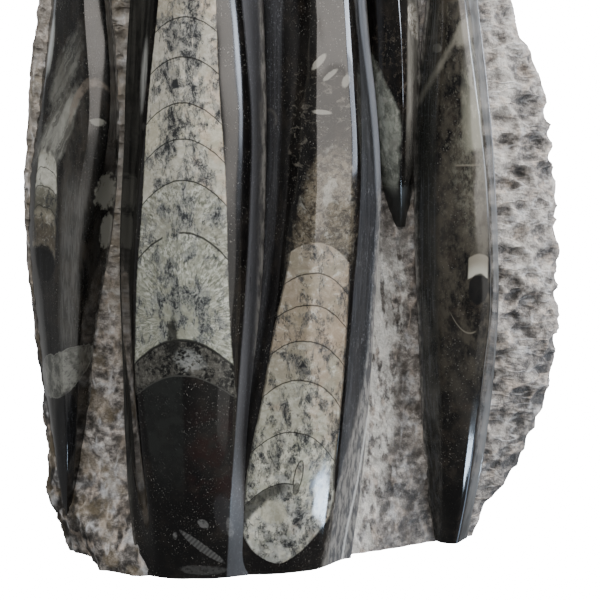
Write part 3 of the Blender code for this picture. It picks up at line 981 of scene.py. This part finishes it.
# %% Finish the outer left ridge
def outer_left_stone():
    f = Finish("outer_left_stone")
    ground = black_ground(f, 0.8)
    lean = math.radians(29.5)
    aside = (f.x + 88.4) * math.cos(lean) - (f.z - 176.4) * math.sin(lean) + f.fray * 3
    run = (f.x + 88.4) * math.sin(lean) + (f.z - 176.4) * math.cos(lean)
    spot = f.node("ShaderNodeCombineXYZ", {}, {0: aside / 1.5, 1: run / 26.0, 2: f.y / 30.0}, "Vector")
    strands = f.step(f.grain(1.0, 4.0, rough=0.6, at=spot), 0.5, 0.2)
    smears = ((-81.6, 186.8), (4.0, 14.0), 24, 0.5), ((-85.8, 167.4), (3.8, 15.0), 35, 0.8), ((-82.6, 166.2), (3.0, 13.0), 21, 0.9)
    for middle, size, turn, share in smears:
        ground = f.blend(f.oval(middle, size, turn, 1.9, 2.4) * (0.35 + strands * 0.65) * share, ground, seen(166, 165, 155))
    hair = f.step(f.grain(0.6, 3.0, (1, 1, 12)), 0.5, 0.2)
    scuffed = f.band(f.x, f.rail([(80, -86.6), (110, -85.2), (140, -83.6)]), f.rail([(80, -80.5), (110, -78.4), (140, -74.2)]), 3.0)
    scuffed = scuffed * f.band(f.z, 84, 146, 16)
    ground = f.blend(scuffed * (0.4 + hair * 0.35), ground, seen(112, 111, 107))
    drift = f.step(f.grain(7, 6.0, (0.6, 1, 2.0), 0.65, 0.4), 0.52, 0.2) * f.band(f.x, -86, -72, 6) * f.band(f.z, 95, 200, 20)
    ground = f.blend(drift * 0.4, ground, seen(84, 79, 72))
    hook = f.z - 182.6 + (f.x + 70.0) * (f.x + 70.0) * 0.12 + f.fray * 3
    hook = f.line(hook, 1.6 - (f.x + 66.0) * 0.34, 1.6) * f.band(f.x, -80.0, -65.0, 2.5)
    ground = f.blend(hook * (0.35 + f.step(f.grain(2.4, 4.0), 0.5, 0.2) * 0.4), ground, seen(138, 126, 113))
    for middle, size, share in (((-69.1, 168.5), (2.4, 1.4), 0.65), ((-68.4, 142.5), (2.9, 6.4), 0.95), ((-69.0, 127.6), (1.9, 6.4), 0.85)):
        ground = f.blend(f.oval(middle, size, 8, 0.7, 3.4) * share, ground, seen(176, 174, 162))
    centre = f.rail([(100, -95.0), (122, -92.8), (145, -91.0), (157, -90.4)])
    share = (f.x - centre) / f.rail([(100, 6.0), (122, 5.6), (145, 4.8), (157, 3.8)], 0.0, 20.0)
    arch = f.z + share**4.0 * 2.6 + share * 1.2 + f.fray * 2.0
    cone = (1.0 - f.step(abs(share) + f.fray * 0.25, 1.0, 0.2)) * f.band(arch, 121.5, 157.5, 2.0)
    tone = f.node(
        "ShaderNodeValToRGB",
        {
            "stops": (
                (0.0, seen(150, 142, 126)), (0.1, seen(104, 96, 84)), (0.28, seen(122, 115, 100)),
                (0.36, seen(178, 172, 154)), (0.44, seen(112, 110, 98)), (0.6, seen(146, 144, 130)),
                (0.68, seen(248, 247, 234)), (0.86, seen(242, 241, 228)), (1.0, seen(196, 195, 182)),
            ),
        },
        {0: (arch - 121.5) / 36.0},
        "Color",
    )
    colour = calcite(f, tone, 0.3 - f.step(arch, 145, 8) * 0.6, (92, 91, 82))
    colour = f.blend(septa(f, arch, (136.8, 144.4, 151.2), 0.5) * 0.75, colour, seen(50, 49, 45))
    ground = f.blend(cone * 0.85, ground, colour)
    gleam = f.oval((-88.2, 196.0), (1.3, 9.0), 9, 1.9, 0.8)
    ground = f.blend(gleam * 0.75, ground, seen(206, 208, 202))
    chamber = f.oval((-92.3, 116.0), (4.8, 7.0), 0, 0.5, 0.8)
    ground = f.blend(chamber * 0.9, ground, seen(17, 17, 17))
    patch = f.oval((-86.2, 74.4), (6.6, 13.0), 42, 0.3, 0.5)
    patch = patch.most(f.oval((-92.6, 72.0), (4.4, 9.0), 16, 0.3, 0.5))
    flint = f.blend(f.step(f.grain(5, 5.0, rough=0.65), 0.5, 0.24), seen(98, 99, 92), seen(156, 156, 147))
    flint = f.blend(f.step(f.grain(1.6, 4.0, rough=0.7), 0.58, 0.12) * 0.5, flint, seen(40, 40, 38))
    ground = f.blend(patch * 0.85, ground, flint)
    outline = f.line(patch - 0.5, 0.3, 0.2)
    ground = f.blend(outline * 0.5, ground, seen(164, 164, 156))
    tear = f.oval((-86.0, 44.0), (5.4, 24.0), 5, 0.2, 0.3)
    ground = f.blend(tear * 0.85, ground, seen(17, 17, 20))
    ground, streak = streaked(f, ground, f.step(f.z, 30, 30) * 0.2, (46, 47, 42))
    hem = f.rail([(12, -85.4), (45, -80.4), (85, -76.4), (130, -68.4), (170, -64.4), (214, -66.4), (270, -68.4), (322, -72.2)])
    bared = f.step(f.y, -18.4, 2.0) * f.step(f.x, -72.0, 4.0) * f.step(f.z, 158, 24)
    ground, worn = hemmed(f, ground, (f.x - hem + 0.4).most(bared * 6.0 - 3.0), 1.6)
    return f.dress(ground, 0.1 + streak * 0.06 + f.fray * 0.06 + worn * 0.25, f.relief(f.grain(12, 2.0), 0.15, 0.5))


# %% Finish the wedge and the outer right ridge
def wedge_stone():
    f = Finish("wedge_stone")
    ground = black_ground(f, 0.6)
    top = 189.0 - (f.x - 32.0) * 2.2
    face = f.band(f.x + f.fray * 2, 24.0, 40.4, 1.4) * f.step(f.z, 143, 6) * (1.0 - f.step(f.z + f.fray * 8, top, 4.0))
    mottle = f.step(f.grain(5, 6.0, rough=0.7), 0.5, 0.24)
    colour = f.blend(mottle, seen(112, 115, 106), seen(168, 171, 159))
    milky = f.step(f.grain(2.4, 5.0, (0.8, 1, 1.4), 0.7), 0.58, 0.12)
    colour = f.blend(milky * 0.6, colour, seen(206, 206, 192))
    ground = f.blend(face * 0.9, ground, colour)
    bloom = f.band(f.x, 42.6, 47.0, 1.2) * f.step(f.z + f.fray * 20, 165, 50)
    ground = f.blend(bloom * 0.85, ground, f.blend(f.step(f.grain(9, 4.0, (0.6, 1, 2)), 0.5, 0.3), seen(128, 124, 115), seen(170, 166, 156)))
    rough_spot = f.oval((45.8, 204.8), (3.0, 6.4), -12, 0.5, 1.6)
    grain = f.step(f.grain(1.5, 5.0, rough=0.7), 0.5, 0.16)
    ground = f.blend(rough_spot, ground, f.blend(grain, seen(150, 142, 128), seen(252, 246, 232)))
    brown = f.step(f.grain(2.4, 5.0, rough=0.75), 0.58, 0.12) * f.band(f.z, 172, 204, 14)
    ground = f.blend(brown * 0.5, ground, seen(104, 95, 84))
    for middle, size in (((34.6, 176.4), (1.3, 1.0)), ((38.2, 160.4), (1.6, 2.6))):
        ground = f.blend(f.oval(middle, size, 20, 0.8, 1.6) * 0.5, ground, seen(160, 160, 150))
    tip = 1.0 - f.step(f.z, 145.0, 3.0)
    ground = f.blend(tip * 0.6, ground, seen(62, 64, 62))
    hem = f.rail([(124, 45.4), (150, 47.4), (190, 47.4), (230, 44.4), (308, 34.4)])
    ground, worn = hemmed(f, ground, f.x - hem + 1.6)
    return f.dress(ground, 0.09 + f.fray * 0.05 + worn * 0.25 + tip * 0.3, f.relief(f.grain(10, 2.0), 0.15, 0.5))


def outer_right_stone():
    f = Finish("outer_right_stone")
    ground = black_ground(f, 0.9)
    murk = f.step(f.grain(6, 6.0, (0.8, 1, 1.4), 0.7), 0.5, 0.22) * f.step(f.z, 70, 80) * f.step(f.x, 54, 8)
    ground = f.blend(murk * 0.75, ground, seen(82, 77, 67))
    wisp = f.step(f.grain(2.4, 6.0, (0.8, 1, 1.5), 0.75), 0.6, 0.12) * f.step(f.z, 130, 50) * f.step(f.x, 56, 6)
    ground = f.blend(wisp * 0.5, ground, seen(130, 127, 113))
    slip = f.x - 47.3 - (f.z - 174.7) * 0.52 + f.fray * 2.2
    cone = f.line(slip, 1.8, 1.8) * f.band(f.z, 173.0, 204.0, 6.0)
    wide = f.oval((63.5, 200.5), (3.6, 6.0), 30, 1.0, 2.0)
    ground = f.blend((cone * 0.6).most(wide * 0.75), ground, seen(140, 136, 123))
    side = (f.x - f.rail([(140, 66.8), (160, 66.6), (183, 65.4), (200, 64.8)])) / f.rail([(140, 4.0), (160, 3.9), (183, 3.4), (200, 1.4)], 0.0, 20.0)
    pale = (1.0 - f.step(abs(side) + f.fray * 0.5, 1.0, 0.4)) * f.band(f.z + f.fray * 5, 158.5, 198.0, 3.0)
    milk = f.blend(f.step(f.z, 180, 16), seen(140, 138, 122), seen(84, 84, 78))
    milk = f.blend(f.step(f.grain(3.0, 5.0, (0.8, 1, 2.0), 0.7), 0.55, 0.14) * 0.5, milk, seen(176, 173, 156))
    ground = f.blend(pale * (0.35 + f.step(side, -0.4, 1.2) * 0.55), ground, milk)
    wire = f.line(f.z - 153.1 + f.fray * 1.5, 0.6, 0.5) * f.band(f.x, 60.5, 72.2, 2.0)
    ground = f.blend(wire * 0.5, ground, seen(150, 142, 126))
    brown = f.band(f.x - (f.z - 153.0) * -0.025 + f.fray * 3, 66.4, 72.4, 2.0) * f.band(f.z + f.fray * 8, 120.0, 158.0, 5.0)
    grit = f.blend(f.step(f.grain(3.0, 4.0, (1, 1, 1.8)), 0.5, 0.3), seen(70, 66, 58), seen(100, 96, 86))
    ground = f.blend(brown * (0.25 + f.step(f.x, 68.5, 3.0) * 0.5), ground, grit)
    moss = f.step(f.grain(2.6, 6.0, (0.8, 1, 1.2), 0.72), 0.54, 0.24) * f.oval((65.5, 150.0), (5.5, 20.0), -4, 1.4, 2.4)
    ground = f.blend(moss * 0.4, ground, seen(138, 137, 122))
    bow = f.z + ((f.x - 70.0) ** 2.0) * 0.1 + f.fray * 0.8
    cap = f.band(bow, 112.5, 120.5, 0.8) * f.band(f.x, 66.2, 73.6, 0.8)
    drum = f.blend(f.step(bow, 116.0, 5.0), seen(186, 184, 170), seen(140, 134, 120))
    ground = f.blend(cap * 0.9, ground, drum)
    chamber = f.oval((70.3, 107.4), (3.8, 5.8), 0, 0.3, 0.3)
    ground = f.blend(chamber * 0.9, ground, seen(18, 18, 19))
    hook = f.z - 90.6 - (f.x - 67.5) * (f.x - 67.5) * 0.14
    hook = f.line(hook, 0.5, 0.6) * f.band(f.x, 60.5, 69.5, 1.5)
    ground = f.blend(hook * 0.6, ground, seen(140, 134, 120))
    ground = f.blend(f.oval((53.6, 195.0), (1.4, 1.6), 0, 0.8, 1.0) * 0.5, ground, seen(120, 118, 110))
    flank = 1.0 - f.step(f.x - f.rail([(0, 61), (20, 60), (55, 58), (100, 56), (175, 54), (214, 54.5), (265, 51), (330, 47)]), -0.5, 2.0)
    ground, streak = streaked(f, ground, flank * 0.75, (46, 48, 45), 0.35)
    bevel = f.step(f.x - f.rail([(0, 67.2), (20, 69.2), (55, 72.0), (100, 75.6), (150, 72.8), (175, 69.4), (214, 63.6), (330, 49.5)]), 0.8, 1.2)
    mist = f.step(f.grain(9, 4.0, (1, 1, 3.0)), 0.5, 0.3)
    # Painted glint: the thin blue-white line along the right shoulder near the foot stands for the window caught in the
    # polish.
    edge = f.line(f.x - f.rail([(0, 67.1), (20, 68.8), (55, 71.4)]), 0.4, 0.5) * (1.0 - f.step(f.z, 44, 24))
    ground = f.blend(bevel * 0.85, ground, f.blend(mist, seen(86, 88, 90), seen(132, 135, 137)))
    ground = f.blend(edge * 0.6, ground, seen(176, 196, 222))
    hem = f.rail([(0, 71.4), (20, 74.4), (55, 78.4), (100, 80.4), (150, 77.4), (214, 69.4), (265, 61.4), (330, 50.4)])
    ground, worn = hemmed(f, ground, f.x - hem + 0.8, 1.6)
    left_hem = f.rail([(0, 57.6), (20, 54.6), (55, 51.6), (100, 48.6), (150, 46.6), (175, 46.6), (214, 50.6), (330, 45.6)])
    ground, dusty = hemmed(f, ground, left_hem - f.x + 1.8, 3.0)
    worn = worn + dusty
    return f.dress(ground, 0.1 + f.grain(4) * 0.05 + worn * 0.25, f.relief(f.grain(12, 2.0), 0.15, 0.5))


# %% [markdown]
# ## The matrix
# Freshly struck limestone is bruised nearly white, while the bottom of each dish is coloured darker.
# The depth that was stored with each point when the block was pecked drives the colour, so light crests
# and dark hollows always fall in the right place.

# %% Finish the matrix
def matrix_stone():
    f = Finish("matrix_stone")
    hollow = f.node("ShaderNodeAttribute", {"attribute_name": "hollow"}, {}, "Fac")
    cloud = f.grain(9.0, 3.0, rough=0.5)
    felt = f.grain(2.8, 3.0, (1.1, 1, 0.9), 0.55)
    grit = f.grain(0.6, 3.0, rough=0.7)
    strip = 1.0 - f.step(f.x, -50.0, 6.0)
    rim = f.step(f.x, 72.0, 4.0)
    front = 1.0 - f.step(f.y, 2.0, 6.0)
    level = abs(f.grain(6.5, 2.0, (1.7, 1, 0.62), 0.45) - 0.5)
    upright = abs(f.grain(9.0, 2.5, (0.75, 1, 1.5), 0.5) - 0.5)
    crease = 1.0 - f.step(level * rim + upright * (1.0 - rim), 0.04, 0.09)
    broken = f.step(f.grain(3.4, 3.0) + (cloud - 0.5) * 0.5, 0.48, 0.24)
    beside = f.x - f.rail([(0, 19), (30, 25), (60, 28.4), (100, 31.4), (150, 33)])
    near_lip = f.step(f.x, 72, 6) * (1.0 - f.step(f.x, 86, 14)) * 0.14
    tone = 0.64 - hollow * 0.4 + (cloud - 0.5) * 0.8 + (felt - 0.5) * 1.35 + (grit - 0.5) * 0.75 + near_lip
    # Painted light: the upper strip between the left ridges is made lighter to lift the shade it stands in.
    tone = tone - rim * (1.0 - f.step(f.z, 80, 60)) * 0.19 + f.step(f.z, 120, 50) * strip * 0.3
    tone = tone - (1.0 - f.step(f.x, -88.0, 6.0)) * 0.26 - (1.0 - f.step(f.z, 30, 20)) * strip * 0.2
    colour = f.node(
        "ShaderNodeValToRGB",
        {
            "stops": (
                (0.05, seen(52, 49, 46)), (0.3, seen(90, 86, 82)), (0.5, seen(138, 132, 126)),
                (0.7, seen(186, 179, 171)), (1.0, seen(232, 226, 217)),
            ),
        },
        {0: tone},
        "Color",
    )
    # Painted light: the upper strip is also blended towards an even, lighter tone against its shade.
    painted_fill_light = strip * f.step(f.z, 110, 50)
    colour = f.blend(painted_fill_light * 0.65, colour, seen(154, 146, 135))
    warmth = f.blend(f.step(f.grain(7, 3.0), 0.5, 0.16), seen(240, 240, 240), seen(244, 226, 208))
    colour = f.blend(crease * (0.12 + broken * 0.5) * (1.0 - hollow * 0.5), colour, warmth)
    notch = f.cells(4.4, stretch=(1.5, 1, 0.75), at=f.wander(2.0, 4.0))
    notch = (1.0 - f.step(notch, 0.34, 0.24)) * strip * f.step(f.z, 110, 60)
    colour = f.blend(notch * 0.35, colour, seen(72, 66, 58))
    lumps = f.grain(4.8, 4.0, (0.7, 1, 1.7), 0.6) + (1.0 - f.step(beside, 2.6, 4.0)) * 0.12
    chalk = f.band(beside, 0.4, 13.0, 3.0) * (1.0 - f.step(f.z + f.fray * 20, 122, 24)) * f.step(lumps, 0.48, 0.12) * front
    colour = f.blend(chalk * (0.9 - f.step(beside, 3.0, 12.0) * 0.35), colour, seen(252, 249, 240))
    ochre = f.step(f.grain(11, 4.0), 0.56, 0.16) * strip
    colour = f.blend(ochre * 0.4, colour, seen(132, 118, 92))
    shade = f.step(f.grain(7, 5.0, (0.8, 1, 1.3), 0.65), 0.5, 0.14) * f.band(f.x, 34, 62, 6) * (1.0 - f.step(f.z, 150, 20)) * front
    colour = f.blend(shade * 0.5, colour, seen(84, 76, 68))
    height = f.grain(1.8, 4.0, rough=0.62) * 0.8 + grit * 0.25 + crease * 0.25 - notch * 0.5
    return f.dress(colour, 0.66 + (grit - 0.5) * 0.4, f.relief(height, 1.1, 0.9))


# %% [markdown]
# ## Putting the stone together
# Each piece takes its finish, rides on the one body that the stone is, and stands for the measured solid.

# %% Dress and fasten the pieces
FINISHES = {
    "left_ridge": left_ridge_stone,
    "right_ridge": right_ridge_stone,
    "outer_left_ridge": outer_left_stone,
    "wedge_ridge": wedge_stone,
    "outer_right_ridge": outer_right_stone,
}
for name, make in FINISHES.items():
    ridges[name].data.materials.append(make())
matrix.data.materials.append(matrix_stone())
for piece in (*ridges.values(), matrix):
    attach(piece, "root")
    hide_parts("orthoceras_stone")
    print(piece.name, "uses", piece.data.materials[0].name)

# %% [markdown]
# ## The light
# Black polish shows nothing but what it reflects, so the room matters more than the lamps. A tall window on
# the right draws the blue-white streaks, a pale wall between it and the eye fills the facets that face that
# way, and a low pane is caught by the rounded foot. These are seen in the polish alone, and softer light
# from above and from the right models the rough stone.

# %% Light the room
def panel(name, turn, climb, far, size, glow, colour, mirror):
    """A flat light aimed at the stone: turned and raised by degrees, its glow as it is seen."""
    lamp = bpy.data.lights.new(name, "AREA")
    lamp.shape = "RECTANGLE"
    lamp.size, lamp.size_y = size
    lamp.energy, lamp.color = glow * math.pi * size[0] * size[1], colour
    stand = bpy.data.objects.new(name, lamp)
    level = far * math.cos(math.radians(climb))
    turned = math.radians(turn)
    middle = Vector((0, 0, 0.15))
    stand.location = middle + Vector((level * math.sin(turned), -level * math.cos(turned), far * math.sin(math.radians(climb))))
    stand.rotation_euler = (stand.location - middle).to_track_quat("Z", "Y").to_euler()
    stand.visible_diffuse, stand.visible_glossy = not mirror, mirror
    bpy.context.scene.collection.objects.link(stand)
    return stand


panel("window", 84, 10, 1.6, (1.1, 0.24), 24, (0.78, 0.86, 1.0), True)
panel("window_sill", 84, 1, 1.6, (1.1, 0.26), 9, (0.78, 0.86, 1.0), True)
panel("curtain", 84, 22, 1.6, (1.0, 0.42), 6, (0.84, 0.9, 1.0), True)
panel("wall", 50, 15, 1.9, (0.82, 0.86), 5.6, (1.0, 0.94, 0.88), True)
panel("wall_foot", 50, -2, 1.9, (0.82, 0.26), 4.2, (1.0, 0.94, 0.88), True)
panel("near_floor", 52, -10.2, 1.9, (0.82, 0.25), 1.4, (1.0, 0.97, 0.92), True)
panel("floor", 52, -17.6, 1.9, (0.82, 0.25), 0.6, (1.0, 0.97, 0.92), True)
panel("low_pane", 65, -38.4, 1.155, (0.38, 0.17), 46, (0.62, 0.79, 1.0), True)
panel("far_door", -129, 7.5, 2.0, (0.3, 0.16), 0.8, (0.86, 0.92, 1.0), True)
panel("far_right", 131, 2, 2.0, (1.8, 1.8), 1.2, (0.88, 0.93, 1.0), True)
panel("far_left", -137, 2, 2.0, (1.1, 1.8), 0.15, (0.96, 0.96, 0.94), True)
panel("sky", -20, 58, 1.7, (1.6, 1.4), 5.4, (0.97, 0.98, 1.0), False)
panel("room", 5, 20, 2.0, (1.2, 1.2), 0.9, (0.98, 0.97, 0.96), False)
panel("day", 66, 22, 1.7, (0.9, 1.1), 9.5, (0.96, 0.97, 1.0), False)

room = bpy.data.worlds.new("room")
bpy.context.scene.world = room
room.use_nodes = True
backdrop = room.node_tree.nodes["Background"]
backdrop.inputs["Color"].default_value = (1, 1, 1, 1)
looked_at = room.node_tree.nodes.new("ShaderNodeLightPath")
brightness = room.node_tree.nodes.new("ShaderNodeMapRange")
brightness.inputs["To Min"].default_value = 0.16
brightness.inputs["To Max"].default_value = 20.0
room.node_tree.links.new(looked_at.outputs["Is Camera Ray"], brightness.inputs["Value"])
room.node_tree.links.new(brightness.outputs["Result"], backdrop.inputs["Strength"])
